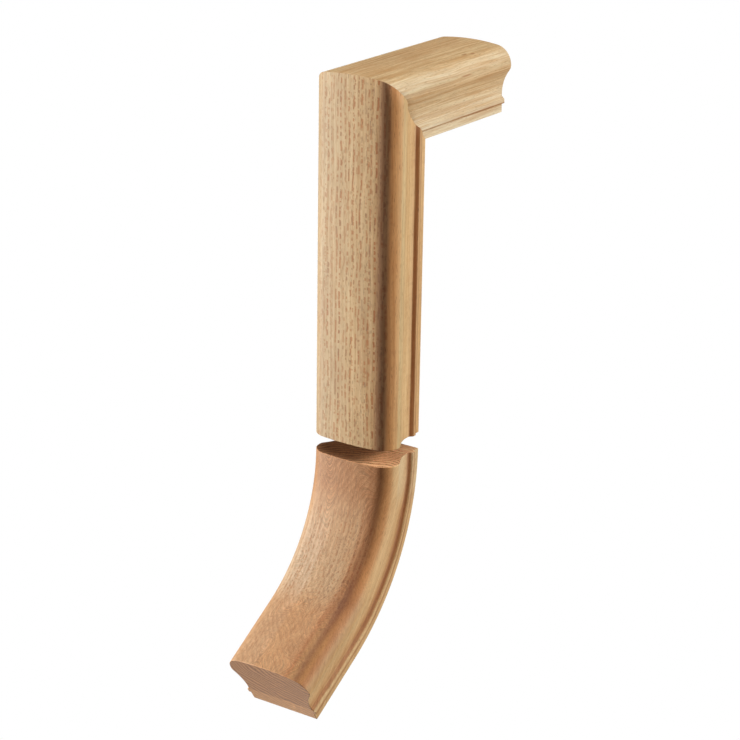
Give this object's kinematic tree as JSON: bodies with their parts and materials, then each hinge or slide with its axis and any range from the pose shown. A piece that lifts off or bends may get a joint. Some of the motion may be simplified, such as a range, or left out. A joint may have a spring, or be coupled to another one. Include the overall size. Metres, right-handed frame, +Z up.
{
  "type": "handrail gooseneck fitting",
  "caption": "Oak handrail gooseneck: a short level arm mitred to a vertical leg, with a separate curved easing below it that carries the same moulded rail down to the stair rake.",
  "frame": {"origin": "centre of the level arm's end face, on the centre plane and half way up the rail", "axes": "+Z up; +X out of the level arm's end face, along the level rail; the stair goes down towards -X; +Y across the rail"},
  "size_m": [0.253, 0.0698, 0.451],
  "materials": {
    "arm_oak": "sanded, unfinished, straight grain along the rail",
    "leg_oak": "sanded, unfinished, straight grain up the leg with short dark pores",
    "easing_oak": "sanded, unfinished, grain cut across by the bend"
  },
  "bodies": {
    "root": {"level_arm": "arm_oak", "leg": "leg_oak", "lower_easing": "easing_oak"}
  },
  "joints": []
}
